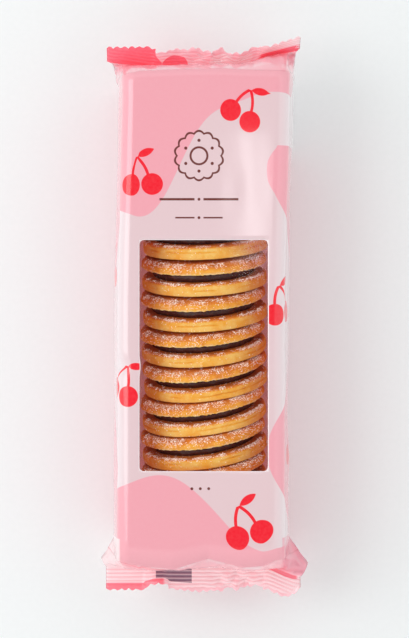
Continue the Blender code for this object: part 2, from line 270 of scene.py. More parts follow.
def spaced(knots, steps):
    """Values through the knots, each stretch cut in its own number of steps."""
    out = [knots[0]]
    for low, high, count in zip(knots, knots[1:], steps):
        out += list(low + (high - low) * np.arange(1, count + 1) / count)
    return np.array(out)


def corner_lines(edge, inward):
    """Places for extra mesh lines that carry the window's round corners."""
    return [edge + inward * WINDOW_CORNER * k / 4 for k in range(5)]


def panel_lines():
    """Places across the flat panel: the folds' ends, and the window's edges and corners."""
    offset = centre_line(0.0)
    left, right = WINDOW_LOW.x - offset, WINDOW_HIGH.x - offset
    lines = list(spaced([-HALF_FLAT, left], [BESIDE_WINDOW_STEPS]))[:-1]
    lines += corner_lines(left, 1)[:-1]
    inner = [left + WINDOW_CORNER, right - WINDOW_CORNER]
    lines += list(spaced(inner, [WINDOW_STEPS]))
    lines += corner_lines(right, -1)[:-1][::-1]
    lines += list(spaced([right, HALF_FLAT], [3]))[1:]
    return np.array(lines)


def girth_stations():
    """Arrays for a round of the film: across, height, share, upper and girth distance.

    It starts at half height on the left and goes over the top and back under. Share is 0 on
    the flat panels and 1 at half height on the sides.
    """
    side = PACK_HEIGHT / 2 - FOLD_RADIUS
    fold = FOLD_RADIUS * math.pi / 2
    rise = side * np.arange(SIDE_STEPS) / SIDE_STEPS
    turn = np.arange(FOLD_STEPS + 1) / FOLD_STEPS
    across = np.concatenate(
        [np.full(SIDE_STEPS, EDGE_HALF_WIDTH), HALF_FLAT + FOLD_RADIUS * np.cos(turn * math.pi / 2)]
    )
    height = np.concatenate([rise, side + FOLD_RADIUS * np.sin(turn * math.pi / 2)])
    share = np.concatenate([1.0 - rise / (side + fold), (1.0 - turn) * fold / (side + fold)])
    flat = panel_lines()[1:-1]
    none = np.zeros(len(flat))
    a = np.concatenate([-across, flat, across[::-1]])
    h = np.concatenate([height, none + PACK_HEIGHT / 2, height[::-1]])
    s = np.concatenate([share, none, share[::-1]])
    girth = np.sign(a) * np.where(s > 0.0, HALF_FLAT + s * (side + fold), np.abs(a))
    under_a, under_h, under_s = a[-2:0:-1], -h[-2:0:-1], s[-2:0:-1]
    under_girth = np.sign(under_a) * (2 * (HALF_FLAT + side + fold) - np.abs(girth[-2:0:-1]))
    upper = np.arange(len(a) + len(under_a)) < len(a)
    return {
        "across": np.concatenate([a, under_a]),
        "height": np.concatenate([h, under_h]),
        "share": np.concatenate([s, under_s]),
        "upper": upper,
        "girth": np.concatenate([girth, under_girth]),
    }


def body_ring(st, y):
    """The film's section at y, for y of any shape along its own first axis."""
    a, h = st["across"], st["height"]
    y = np.asarray(y, float) + np.zeros_like(a)
    belly = SIDE_BULGE * (1.0 - np.square(2.0 * h / PACK_HEIGHT))
    side = a / EDGE_HALF_WIDTH
    x = a + belly * side * np.abs(side) + centre_line(y)
    window_lines = a + centre_line(0.0)
    top = st["share"] == 0.0
    # On the flat panels the mesh lines near the window run straight along it
    beyond = np.interp(a, [-HALF_FLAT, WINDOW_LOW.x - centre_line(0.0)], [1.0, 0.0])
    beyond += np.interp(a, [WINDOW_HIGH.x - centre_line(0.0), HALF_FLAT], [0.0, 1.0])
    x = np.where(top, window_lines + (x - window_lines) * beyond, x)
    return np.stack([x, y, h + PACK_HEIGHT / 2], axis=-1)


def seal_line(st, end):
    """Across the seal, and the seal's start and cut edge at each station."""
    table = np.array(end["seal"])
    limit = np.where(st["across"] > 0.0, table[-1, 0], -table[0, 0])
    spread = np.sign(st["across"]) * (HALF_FLAT + st["share"] * (limit - HALF_FLAT))
    x = np.where(st["share"] == 0.0, st["across"], spread)
    values = [np.interp(x, table[:, 0], table[:, k]) for k in range(1, 5)]
    return x, *values


def crimp_wave(st, along, end):
    """The crimps' height from -1 to 1, as lines that run across the seal."""
    _, start_y, start_z, edge_y, edge_z = seal_line(st, end)
    crimped = smooth((along - 0.04) / 0.06) * smooth((0.93 - along) / 0.05)
    width = np.hypot(edge_y - start_y, edge_z - start_z)
    return crimped * np.sin(2 * np.pi * along * width / CRIMP_PITCH)


def seal_ring(st, along, end):
    """The crimped seal: along is 0 where it leaves the pack and 1 at its cut edge."""
    x, start_y, start_z, edge_y, edge_z = seal_line(st, end)
    teeth = np.abs(np.sin(np.pi * (x + 0.6 * MM) / TOOTH_PITCH)) - 0.5
    length = edge_y - start_y
    y = start_y + (length + TOOTH_DEPTH * teeth * smooth((along - 0.75) / 0.25)) * along
    z = start_z + (edge_z - start_z) * along
    z = z + CRIMP_HEIGHT * crimp_wave(st, along, end)
    moved = x.copy()
    for place, width, overlap in end["pleats"]:
        t = (x - place) / width
        moved -= overlap * 1.3 * t * bell(t) * along
        z = z + 0.5 * MM * smooth((t + 1.0) / 2.0) * smooth(3.0 - t / 2.0) * along
    ripple = np.stack([x, np.full_like(x, along * 0.01), np.zeros_like(x)], axis=-1)
    z = z + 0.35 * MM * noise(ripple, 7 * MM, 3 + end["side"], 2) * along
    middle, spread = end["crushed"]
    crushed = bell((x - middle) / spread) * smooth(along * 3.0)
    folds = zigzag(x / (5.5 * MM) + 0.8 * along) - zigzag(x / (8.5 * MM) - 1.1 * along)
    z = z + 1.5 * MM * crushed * folds
    y = y + 1.0 * MM * crushed * folds * along
    half = SEAL_HALF_THICKNESS * np.sqrt(1.0 - st["share"] ** 4)
    z = z + np.where(st["upper"], half, -half)
    return np.stack([moved, end["side"] * y, z], axis=-1)


def panel_end(st, end):
    """How far beyond its usual length the top panel reaches at each station."""
    table = np.array(end["crease"]) * MM
    over = np.interp(st["across"], table[:, 0], table[:, 1])
    return np.where(st["upper"], over * smooth((1.0 - st["share"]) / 0.6), 0.0)


def wall_ring(st, down, end):
    """The end wall: down is 0 at the panel's end and 1 at the seal."""
    body_y = PANEL_HALF_LENGTH - end["start"] * st["share"] ** 2 + panel_end(st, end)
    body = body_ring(st, end["side"] * body_y)
    seal = seal_ring(st, 0.0, end)
    puff = math.sin(math.pi * down)
    x = body[:, 0] + (seal[:, 0] - body[:, 0]) * down
    ear = math.sin(math.pi * down**EAR_DROOP) * st["share"] ** 2
    x += (np.sign(seal[:, 0]) * end["reach"] - x) * ear
    y = body_y + (np.abs(seal[:, 1]) - body_y) * down + WALL_PUFF * puff
    z = body[:, 2] + (seal[:, 2] - body[:, 2]) * down
    crumple = np.stack([x * 1.5, z * 0.6, st["upper"] * 0.05], axis=-1)
    crease = 1.0 - 2.6 * np.abs(noise(crumple, 9 * MM, 20 + end["side"], 2))
    y = y + 0.6 * MM * crease * puff
    ears = smooth((st["share"] - 0.20) / 0.35) * puff
    lower = np.where(st["upper"], 0.0, 0.37 * smooth((1.0 - st["share"]) / 0.2))
    one = zigzag(1.9 * down + 1.2 * st["share"] + 0.2 + lower)
    other = zigzag(1.0 * down - 1.9 * st["share"] + 0.35 + lower)
    x = x - np.sign(seal[:, 0]) * 1.7 * MM * ears * one * other
    z = z + 2.4 * MM * ears * (one - other)
    return np.stack([x, end["side"] * y, z], axis=-1)


def film_grid():
    """The whole film's points ring by ring from foot to head, and its print coordinates."""
    st = girth_stations()
    low, high = WINDOW_LOW.y, WINDOW_HIGH.y
    foot_reach, head_reach = (PANEL_HALF_LENGTH - end["start"] for end in (FOOT, HEAD))
    foot_part = list(spaced([-foot_reach, low], [BODY_STEPS[0]]))[:-1]
    window_part = corner_lines(low, 1)[:-1]
    window_part += list(spaced([low + WINDOW_CORNER, high - WINDOW_CORNER], [BODY_STEPS[1]]))
    window_part += corner_lines(high, -1)[:-1][::-1]
    head_part = list(spaced([high, head_reach], [BODY_STEPS[2]]))[1:]
    foot, head = end_part(st, FOOT), end_part(st, HEAD)
    stretch_from = (60 * MM, PANEL_HALF_LENGTH)
    rings, lengths, crimps = foot[0][::-1], foot[1][::-1], foot[2][::-1]
    for y in foot_part + window_part + head_part:
        end = HEAD if y > 0 else FOOT
        late = np.interp(abs(y), stretch_from, (0.0, 1.0)) ** 2
        rings.append(body_ring(st, y + end["side"] * late * panel_end(st, end)))
        lengths.append(np.full_like(st["across"], y))
        crimps.append(np.zeros_like(st["across"]))
    points = np.array(rings + head[0])
    place = [np.broadcast_to(st["girth"], points.shape[:2]) / MM, np.array(lengths + head[1]) / MM]
    place = np.stack([*place, np.array(crimps + head[2])], axis=-1)
    first = len(foot[0]) + len(foot_part)
    return st, points, place, first, first + len(window_part) - 1


def end_part(st, end):
    """Rings of an end from the panel to the cut edge, their distance along, their crimps."""
    rings, far, crimps = [], [], []
    for i in range(WALL_STEPS):
        down = (1.0 - math.cos(math.pi * i / WALL_STEPS)) / 2  # rings crowd at both creases
        rings.append(wall_ring(st, down, end))
        start = end["start"] * st["share"] ** 2 * (1.0 - down)
        far.append(end["side"] * (PANEL_HALF_LENGTH - start + WALL_LENGTH * down))
        crimps.append(np.zeros_like(st["across"]))
    for i in range(SEAL_STEPS + 1):
        along = i / SEAL_STEPS
        rings.append(seal_ring(st, along, end))
        beyond = PANEL_HALF_LENGTH + WALL_LENGTH + SEAL_LENGTH * along
        far.append(np.full_like(st["across"], end["side"] * beyond))
        crimps.append(crimp_wave(st, along, end))
    return rings, far, crimps


def round_window_corners(points, st, first, last):
    """Moves the mesh lines round the window's corners onto arcs."""
    x, y = points[..., 0], points[..., 1]
    top = st["upper"] & (st["share"] == 0.0)
    for sx, edge_x in ((-1, WINDOW_LOW.x), (1, WINDOW_HIGH.x)):
        for sy, edge_y in ((-1, WINDOW_LOW.y), (1, WINDOW_HIGH.y)):
            middle_x, middle_y = edge_x - sx * WINDOW_CORNER, edge_y - sy * WINDOW_CORNER
            qx = (x - middle_x) * sx / WINDOW_CORNER
            qy = (y - middle_y) * sy / WINDOW_CORNER
            near = top[None, :] & (qx > 1e-4) & (qy > 1e-4) & (qx < 1.001) & (qy < 1.001)
            near[:first] = False
            near[last + 1 :] = False
            size = np.maximum(qx, qy) / np.maximum(np.hypot(qx, qy), 1e-9)
            x = np.where(near, middle_x + sx * WINDOW_CORNER * qx * size, x)
            y = np.where(near, middle_y + sy * WINDOW_CORNER * qy * size, y)
    points[..., 0], points[..., 1] = x, y


def rumple_film(points, st):
    """Small waves of the film, most on its sides and near its ends."""
    p = points.copy()
    p[..., 1] *= 0.6
    upper = st["upper"][None, :]
    share = st["share"][None, :]
    side = np.sign(st["across"])[None, :]
    y = points[..., 1]
    body = smooth((PANEL_HALF_LENGTH - np.abs(y)) / (6 * MM))
    sides = smooth(share * 2.2)
    wave = noise(p, 16 * MM, 41, 2)
    points[..., 0] += side * 0.45 * MM * (wave - 0.6) * sides * body
    flat = (share < 0.28) & upper
    dimple = noise(points * np.array([1.0, 0.45, 1.0]), 11 * MM, 52, 2)
    near_end = smooth((np.abs(y) - 70 * MM) / (20 * MM))
    points[..., 2] += np.where(flat, (dimple - 0.7) * (0.06 + 0.06 * near_end) * MM * body, 0.0)
    # A dent in the left fold
    dent = bell((y + 18 * MM) / (2.4 * MM)) * bell((share - 0.16) / 0.16) * (side < 0) * upper
    points[..., 0] += 1.3 * MM * dent
    points[..., 2] -= 1.0 * MM * dent


def add_film(looks):
    st, points, place, first, last = film_grid()
    round_window_corners(points, st, first, last)
    rumple_film(points, st)
    rows, columns = points.shape[:2]
    faces = grid_faces(rows, columns, closed=True)
    row, column = faces[:, 0] // columns, faces[:, 0] % columns
    lines = np.where(st["upper"] & (st["share"] == 0.0))[0]
    a = st["across"][lines] + centre_line(0.0)
    left = lines[np.argmin(np.abs(a - WINDOW_LOW.x))]
    right = lines[np.argmin(np.abs(a - WINDOW_HIGH.x))]
    in_window = (row >= first) & (row < last) & (column >= left) & (column < right)
    flat_points = points.reshape(-1, 3)
    place = place.reshape(-1, 3)
    for name, shown, own, slot, node in (
        ("film", ~in_window, looks[:2], "printed_film", "wrapper"),
        ("window_pane", in_window, looks[2:], "clear_film", "window_film"),
    ):
        add_film_piece(name, flat_points, faces[shown], place, own, node)


def add_film_piece(name, points, faces, place, looks, node):
    used, faces = np.unique(faces, return_inverse=True)
    piece = new_piece(name, points[used], faces.reshape(-1, 4), looks, (node,))
    add_values(piece, "print", place[used])
    if len(looks) > 1:  # the printed part has an inside of its own
        sheet = piece.modifiers.new("sheet", "SOLIDIFY")
        sheet.thickness = FILM
        sheet.offset = -1.0
        sheet.material_offset = 1


# Biscuits


def biscuit_profile(thickness, top):
    """Radius and height along a biscuit's outline, from the domed face to the flat one."""
    rounding, rise = (3.0 * MM, 2.3 * MM) if top else (1.9 * MM, 1.5 * MM)
    crown = np.linspace(0.0, 1.0, 9) ** 0.6
    face_r = crown * (BISCUIT_RADIUS - rounding)
    face_z = thickness + BISCUIT_DOME * (1.0 - crown**2)
    turn = np.linspace(0.0, math.pi / 2, 15)[1:]
    round_r = BISCUIT_RADIUS - rounding + rounding * np.sin(turn)
    round_z = thickness - rise + rise * np.cos(turn)
    wall = np.linspace(0.0, 1.0, 11)[1:]
    foot = 0.5 * MM
    wall_r = np.full(10, BISCUIT_RADIUS) + 0.12 * MM * np.sin(wall * math.pi)
    wall_z = (thickness - rise) * (1.0 - wall) + foot * wall
    turn = np.linspace(0.0, math.pi / 2, 6)[1:]
    foot_r = BISCUIT_RADIUS - foot + foot * np.cos(turn)
    foot_z = foot - foot * np.sin(turn)
    under = np.linspace(1.0, 0.0, 8)[1:] ** 0.7
    under_r = under * (BISCUIT_RADIUS - foot)
    r = np.concatenate([face_r, round_r, wall_r, foot_r, under_r])
    z = np.concatenate([face_z, round_z, wall_z, foot_z, np.zeros(7)])
    return r, z


def turned_grid(r, z, steps):
    """Points of a turned shape, ring by ring, each from a radius and a height."""
    angle = 2 * math.pi * np.arange(steps) / steps
    x = r[:, None] * np.cos(angle)[None, :]
    y = r[:, None] * np.sin(angle)[None, :]
    return np.stack([x, y, np.broadcast_to(z[:, None], x.shape)], axis=-1), angle


def outward(points):
    """Unit directions straight out of the biscuit's rim, in its own plane."""
    flat = points[..., :2]
    size = np.maximum(np.linalg.norm(flat, axis=-1, keepdims=True), 1e-9)
    return flat / size


def biscuit_points(thickness, seed, top):
    """A baked biscuit in its own frame, with how brown it is (partly painted shade at its ends), how
    broken and how sugared it is.
    """
    r, z = biscuit_profile(thickness, top)
    points, angle = turned_grid(r, z, ROUND_STEPS)
    rim = smooth((r - BISCUIT_RADIUS + 6 * MM) / (5 * MM))[:, None]
    level = (z / thickness)[:, None]
    out = outward(points)
    uneven = 0.28 * MM * noise(points * np.array([1, 1, 0.3]), 14 * MM, seed, 2)
    bumps = 0.12 * MM * noise(points, 2.4 * MM, seed + 11, 2)
    crumb = 0.06 * MM * noise(points, 0.8 * MM, seed + 23, 2)
    circle = np.stack([np.cos(angle), np.sin(angle), np.full_like(angle, seed)], axis=-1)
    wander = noise(circle * 2.2, 1.0, seed + 5, 2)[None, :]
    patch = smooth(noise(circle * 3.1, 1.0, seed + 7, 1)[None, :] * 1.8 + 0.45)
    crack_level = 0.50 + 0.10 * wander
    crack = bell((level - crack_level) / 0.05) * patch * (0.15 if top else 1.0)
    wall = smooth((r - BISCUIT_RADIUS + 1.2 * MM) / (1.0 * MM))[:, None]
    push = (uneven + bumps + crumb) * rim - 0.34 * MM * crack * wall
    fringe = np.abs(noise(circle * 26.0, 1.0, seed + 31, 2))[None, :]
    low_edge = bell(level / 0.18) * wall
    push = push + (0.55 if top else 0.12) * MM * fringe * low_edge
    points[..., :2] += out * push[..., None]
    face = smooth((z - thickness + 1.2 * MM) / (1.0 * MM))[:, None]
    points[..., 2] += face * (0.10 * MM * noise(points, 1.7 * MM, seed + 43, 2) - 0.05 * MM)
    jag = noise(circle * 30.0, 1.0, seed + 37, 2)[None, :]
    points[..., 2] += (0.30 if top else 0.05) * MM * jag * low_edge
    base, start, width = (0.38, 0.48, 0.45) if top else (0.12, 0.72, 0.30)
    brown = base + (0.86 - base) * smooth((level - start) / width)
    # Partly browning, partly painted shade: a little browner at the two ends across the pack, which
    # lie deeper in its shade
    ends = np.abs(np.cos(angle))[None, :] ** 3
    brown = brown + 0.22 * noise(points, 5 * MM, seed + 3, 2) + 0.05 * ends * (level > 0.25)
    brown = brown + 0.30 * crack - (0.25 if top else 0.0) * bell(level / 0.15)
    brown = np.clip(brown * rim + (1.0 - rim) * 0.8, 0.0, 1.0)
    broken = np.clip(low_edge * (1.0 if top else 0.1), 0.0, 1.0) * np.ones_like(brown)
    at, reach = (0.80, 0.22) if top else (0.88, 0.12)
    sugared = bell((level - at) / reach) * rim * np.ones_like(brown)
    return points, np.stack([brown, broken, sugared], axis=-1).reshape(-1, 3)


def sandwich_matrix(number):
    """Where a sandwich's own frame lies: its axis points to the head and a little up."""
    tilt = math.radians(LEAN_DEG[number - 1])
    spin = math.radians(TURN_DEG[number - 1])
    a = tilt - math.pi / 2
    tip = np.array([[1, 0, 0], [0, math.cos(a), -math.sin(a)], [0, math.sin(a), math.cos(a)]])
    c, s = math.cos(spin), math.sin(spin)
    turn = np.array([[c, -s, 0], [s, c, 0], [0, 0, 1]])
    y = FIRST_Y - sum(PITCH[: number - 1])
    return turn @ tip, np.array([ROW_CENTRE_X + SHIFT[number - 1], y, ROW_CENTRE_HEIGHT])


def placed(points, number, level, shift=0.0):
    """Points of a layer of a sandwich, moved to its level and into the pack's frame."""
    turn, centre = sandwich_matrix(number)
    moved = points.reshape(-1, 3) + np.array([shift, 0.0, level])
    return moved @ turn.T + centre


def biscuit_layers(number):
    """The thickness and level of a sandwich's two biscuits, as in the solids."""
    turned = [(math.radians(lean), math.radians(turn)) for lean, turn in zip(LEAN_DEG, TURN_DEG)]
    rooms = []
    for near, far, pitch in zip(turned, turned[1:], PITCH):
        unlike = math.hypot(near[0] - far[0], near[1] - far[1])
        room = pitch * math.cos(near[0]) * math.cos(near[1])
        rooms.append(room - 0.3 * MM - BISCUIT_RADIUS * unlike / 2)
    room = min(rooms[max(number - 2, 0) : number])
    both = room - JAM_ROOM - 2 * BISCUIT_DOME
    top, bottom = both * TOP_SHARE, both * (1.0 - TOP_SHARE)
    level = -(JAM_ROOM / 2 + BISCUIT_DOME + bottom)
    return ("top", top, JAM_ROOM / 2), ("bottom", bottom, level)


def between(grid, row, column):
    """Points of a closed grid at fractional rows and columns."""
    rows, columns = grid.shape[:2]
    r0, c0 = np.floor(row).astype(int), np.floor(column).astype(int)
    fr, fc = (row - r0)[:, None], (column - c0)[:, None]
    r1, c0, c1 = np.minimum(r0 + 1, rows - 1), c0 % columns, (c0 + 1) % columns
    near = grid[r0, c0] * (1.0 - fc) + grid[r0, c1] * fc
    far = grid[r1, c0] * (1.0 - fc) + grid[r1, c1] * fc
    return near * (1.0 - fr) + far * fr


def sugar_grains(points, rng, top, more):
    """Small crystals round the domed face's rim and a few on the side, as joined octahedra."""
    count = SUGAR_GRAINS
    upward = rng.random(count) < 0.8
    angle = np.where(
        upward, rng.uniform(-2.9, -0.25, count), rng.uniform(0.0, 2 * math.pi, count)
    )
    middle, spread = (13.0, 4.5) if top else (11.5, 3.2)
    on_rim = rng.random(count) < 0.9
    row = np.where(on_rim, rng.normal(middle, spread, count), rng.uniform(8.0, 33.0, count))
    row = np.clip(row, 4.0, 34.0)
    column = (angle % (2 * math.pi)) / (2 * math.pi) * points.shape[1]
    centre = between(points, row, column)
    clump = noise(centre, 3.0 * MM, 77, 2) + rng.normal(0.0, 0.22, count)
    centre = centre[clump > (0.06 if top else 0.12) - more]
    size = rng.uniform(0.07, 0.22, len(centre)) * MM
    basis = np.array([[1, 0, 0], [-1, 0, 0], [0, 1, 0], [0, -1, 0], [0, 0, 1], [0, 0, -1]], float)
    turns, _ = np.linalg.qr(rng.normal(size=(len(centre), 3, 3)))
    stretch = rng.uniform(0.6, 1.4, (len(centre), 1, 3))
    corners = (basis[None] * stretch * size[:, None, None]) @ turns + centre[:, None, :]
    sides = [(0, 2, 4), (2, 1, 4), (1, 3, 4), (3, 0, 4), (2, 0, 5), (1, 2, 5), (3, 1, 5), (0, 3, 5)]
    faces = np.array(sides)[None] + 6 * np.arange(len(centre))[:, None, None]
    return corners.reshape(-1, 3), faces.reshape(-1, 3)


def add_sandwiches(looks):
    grain_points, grain_faces, grown = [], [], 0
    rng = np.random.default_rng(11)
    for number in range(1, len(LEAN_DEG) + 1):
        for part, thickness, level in biscuit_layers(number):
            top = part == "top"
            seed = 100 * number + (50 if top else 0)
            points, values = biscuit_points(thickness, seed, top)
            rows, columns = points.shape[:2]
            shift = rng.uniform(-0.2, 0.2) * MM
            world = placed(points, number, level, shift)
            name = f"biscuit_{number}_{part}"
            piece = new_piece(
                f"{name}_baked", world, grid_faces(rows, columns, True), [looks["biscuit"]],
                (name,),
            )
            weld_poles(piece)
            add_values(piece, "crust", values)
            corners, sides = sugar_grains(points, rng, top, 0.14 if number >= 6 else 0.0)
            grain_points.append(placed(corners, number, level, shift))
            grain_faces.append(sides + grown)
            grown += len(corners)
        add_jam(number, looks["jam"])
    new_piece(
        "sugar_grains", np.concatenate(grain_points), np.concatenate(grain_faces),
        [looks["sugar"]], shade_flat=True,
    )


def add_jam(number, look):
    """A glossy uneven layer that meets both biscuits."""
    half = JAM_ROOM / 2 + 0.12 * MM
    turn = np.linspace(-1.0, 1.0, 9)
    edge_r = JAM_RADIUS - 0.5 * MM * np.square(turn)
    face = np.linspace(0.0, 1.0, 6)[:-1]
    inner = JAM_RADIUS - 0.5 * MM
    r = np.concatenate([face * inner, edge_r, face[::-1] * inner])
    z = np.concatenate([np.full(5, half), -turn * half, np.full(5, -half)])
    points, _ = turned_grid(r, z, 160)
    seed = 900 + number
    uneven = 0.7 * MM * noise(points, 7 * MM, seed, 2)
    uneven = uneven + 0.25 * MM * noise(points, 1.6 * MM, seed + 9, 2)
    rim = smooth((r - JAM_RADIUS + 3 * MM) / (2 * MM))[:, None]
    points[..., :2] += outward(points) * (uneven * rim)[..., None]
    world = placed(points, number, 0.0)
    piece = new_piece(
        f"jam_{number}_layer", world, grid_faces(*points.shape[:2], True), [look],
        (f"jam_{number}",),
    )
    weld_poles(piece)


# Tray


def add_tray(look):
    """The clear trough with upright flutes in its walls, up to a flanged rim."""
    rim, bend = TRAY_HIGH.z, TRAY_INNER_RADIUS
    flange = (TRAY_HIGH.x - TRAY_LOW.x) / 2
    lip = [(flange, rim - TRAY_LIP), (flange, rim), (bend + TRAY_RIM_ROUNDING, rim)]
    wall = [(bend, z) for z in np.linspace(rim - TRAY_RIM_ROUNDING, ROW_CENTRE_HEIGHT, 9)]
    steps = 28
    turn = np.pi * np.arange(1, steps) / steps
    trough = [(bend * math.cos(t), ROW_CENTRE_HEIGHT - bend * math.sin(t)) for t in turn]
    half = lip + wall
    outline = np.array(half + trough + [(-x, z) for x, z in half[::-1]])
    length = TRAY_HIGH.y - TRAY_LOW.y
    count = int(length / FLUTE_PITCH * 8)
    y = np.linspace(TRAY_LOW.y, TRAY_HIGH.y, count)
    flute = np.abs(np.sin(np.pi * (y - TRAY_LOW.y) / FLUTE_PITCH))
    upright = smooth((outline[:, 1] - 34 * MM) / (8 * MM)) * (np.abs(outline[:, 0]) <= bend + 1e-6)
    x = outline[None, :, 0] - np.sign(outline[None, :, 0]) * FLUTE_DEPTH * upright * flute[:, None]
    grid = np.stack(
        [x + ROW_CENTRE_X, np.broadcast_to(y[:, None], x.shape),
         np.broadcast_to(outline[None, :, 1], x.shape)], axis=-1,
    )
    faces = grid_faces(len(y), len(outline), False)
    new_piece("clear_tray", grid.reshape(-1, 3), faces, [look], ("tray",))


# Materials


class Nodes:
    """Short calls for building a material's nodes."""

    def __init__(self, name):
        self.look = bpy.data.materials.new(name)
        self.look.use_nodes = True
        self.tree = self.look.node_tree
        self.shader = self.tree.nodes["Principled BSDF"]
        self.output = self.tree.nodes["Material Output"]

    def add(self, kind, **settings):
        made = self.tree.nodes.new(kind)
        for key, value in settings.items():
            setattr(made, key, value)
        return made

    def feed(self, socket, value):
        if isinstance(value, bpy.types.NodeSocket):
            self.tree.links.new(value, socket)
        else:
            socket.default_value = value

    def fill(self, node, **values):
        """Feeds a node's sockets by their names, with _ for a space."""
        for key, value in values.items():
            self.feed(node.inputs[key.replace("_", " ")], value)
        return node

    def math(self, operation, a, b=0.0):
        made = self.add("ShaderNodeMath", operation=operation)
        for socket, value in zip(made.inputs, (a, b)):
            self.feed(socket, value)
        return made.outputs[0]

    def times(self, a, b):
        return self.math("MULTIPLY", a, b)

    def plus(self, a, b):
        return self.math("ADD", a, b)

    def minus(self, a, b):
        return self.math("SUBTRACT", a, b)

    def size(self, a):
        return self.math("ABSOLUTE", a)

    def mix(self, share, a, b):
        made = self.add("ShaderNodeMix", data_type="RGBA")
        self.feed(made.inputs["Factor"], share)
        self.feed(made.inputs[6], a)
        self.feed(made.inputs[7], b)
        return made.outputs[2]

    def noise(self, vector, scale, detail=2.0, roughness=0.5):
        made = self.add("ShaderNodeTexNoise")
        self.fill(made, Vector=vector, Scale=scale, Detail=detail, Roughness=roughness)
        return made.outputs["Fac"]

    def ramp(self, value, low, high):
        """0 at low and 1 at high, smoothly between."""
        made = self.add("ShaderNodeMapRange", interpolation_type="SMOOTHSTEP")
        self.fill(made, Value=value, From_Min=low, From_Max=high)
        return made.outputs["Result"]

    def bump(self, height, strength, distance):
        made = self.add("ShaderNodeBump")
        self.fill(made, Height=height, Strength=strength, Distance=distance)
        return made.outputs["Normal"]

    def coords(self):
        return self.add("ShaderNodeTexCoord").outputs["Object"]

    def attribute(self, name):
        return self.add("ShaderNodeAttribute", attribute_name=name)

    def set(self, **values):
        self.fill(self.shader, **values)
        return self.look


def srgb(r, g, b):
    """A colour for a shader from the 0 to 255 numbers of a screen colour."""
    parts = []
    for c in (r, g, b):
        c = c / 255
        parts.append(c / 12.92 if c <= 0.04045 else ((c + 0.055) / 1.055) ** 2.4)
    return (*parts, 1.0)


PALE_PINK = srgb(233, 203, 207)
MID_PINK = srgb(247, 168, 180)
RED = srgb(250, 0, 36)
DEEP_PINK = srgb(252, 84, 108)
BROWN = srgb(110, 42, 36)
MARK = srgb(120, 80, 104)
# In millimetres on the film: round the girth from the middle, and along the pack
ORNAMENT_AT = (-0.8, 62.0)
# Each pair's place, its turn in degrees and its size
FRUIT_PAIRS = (
    (-24.0, 55.0, 12.0, 1.25), (16.0, 80.5, -20.0, 1.2), (-31.0, -24.0, -14.0, 1.2),
    (31.0, 6.0, 18.0, 1.25), (16.5, -78.0, 24.0, 1.35), (-46.0, 20.0, 10.0, 1.2),
    (47.0, -50.0, -12.0, 1.2),
)


def circle(n, g, v, at_g, at_v):
    """Distance on the film from a place, in millimetres."""
    dg, dv = n.minus(g, at_g), n.minus(v, at_v)
    return n.math("SQRT", n.plus(n.times(dg, dg), n.times(dv, dv)))


def inside(n, distance, radius, soft=0.12):
    return n.ramp(distance, radius + soft, radius - soft)


def past(n, value, line):
    """1 where a value is past a line, with a soft edge."""
    return n.ramp(n.minus(value, line), -0.12, 0.12)


def either(n, *masks):
    out = masks[0]
    for mask in masks[1:]:
        out = n.math("MAXIMUM", out, mask)
    return out


def both(n, *masks):
    out = masks[0]
    for mask in masks[1:]:
        out = n.times(out, mask)
    return out


def cherry_pair(n, g, v, at_g, at_v, turn_deg, size):
    """Two round fruits on a forked stalk with a leaf, in the film's millimetres."""
    c, s = math.cos(math.radians(turn_deg)) / size, math.sin(math.radians(turn_deg)) / size
    dg, dv = n.minus(g, at_g), n.minus(v, at_v)
    lg = n.plus(n.times(dg, c), n.times(dv, s))
    lv = n.minus(n.times(dv, c), n.times(dg, s))
    fruits = either(
        n, inside(n, circle(n, lg, lv, -3.3, -2.6), 3.3), inside(n, circle(n, lg, lv, 3.6, -3.8), 3.3)
    )
    left_arc = n.size(n.minus(circle(n, lg, lv, 7.5, -2.0), 10.2))
    right_arc = n.size(n.minus(circle(n, lg, lv, -7.6, -1.4), 10.6))
    stalks = either(
        n,
        both(n, inside(n, left_arc, 0.45, 0.08), n.math("LESS_THAN", lg, 1.6)),
        both(n, inside(n, right_arc, 0.45, 0.08), n.math("GREATER_THAN", lg, -1.6)),
    )
    reach = both(n, n.math("GREATER_THAN", lv, -1.2), n.math("LESS_THAN", lv, 5.4))
    leaf = both(
        n, inside(n, circle(n, lg, lv, 3.0, 9.0), 4.2), inside(n, circle(n, lg, lv, 4.2, 3.2), 4.0)
    )
    return either(n, fruits, both(n, stalks, reach), leaf)


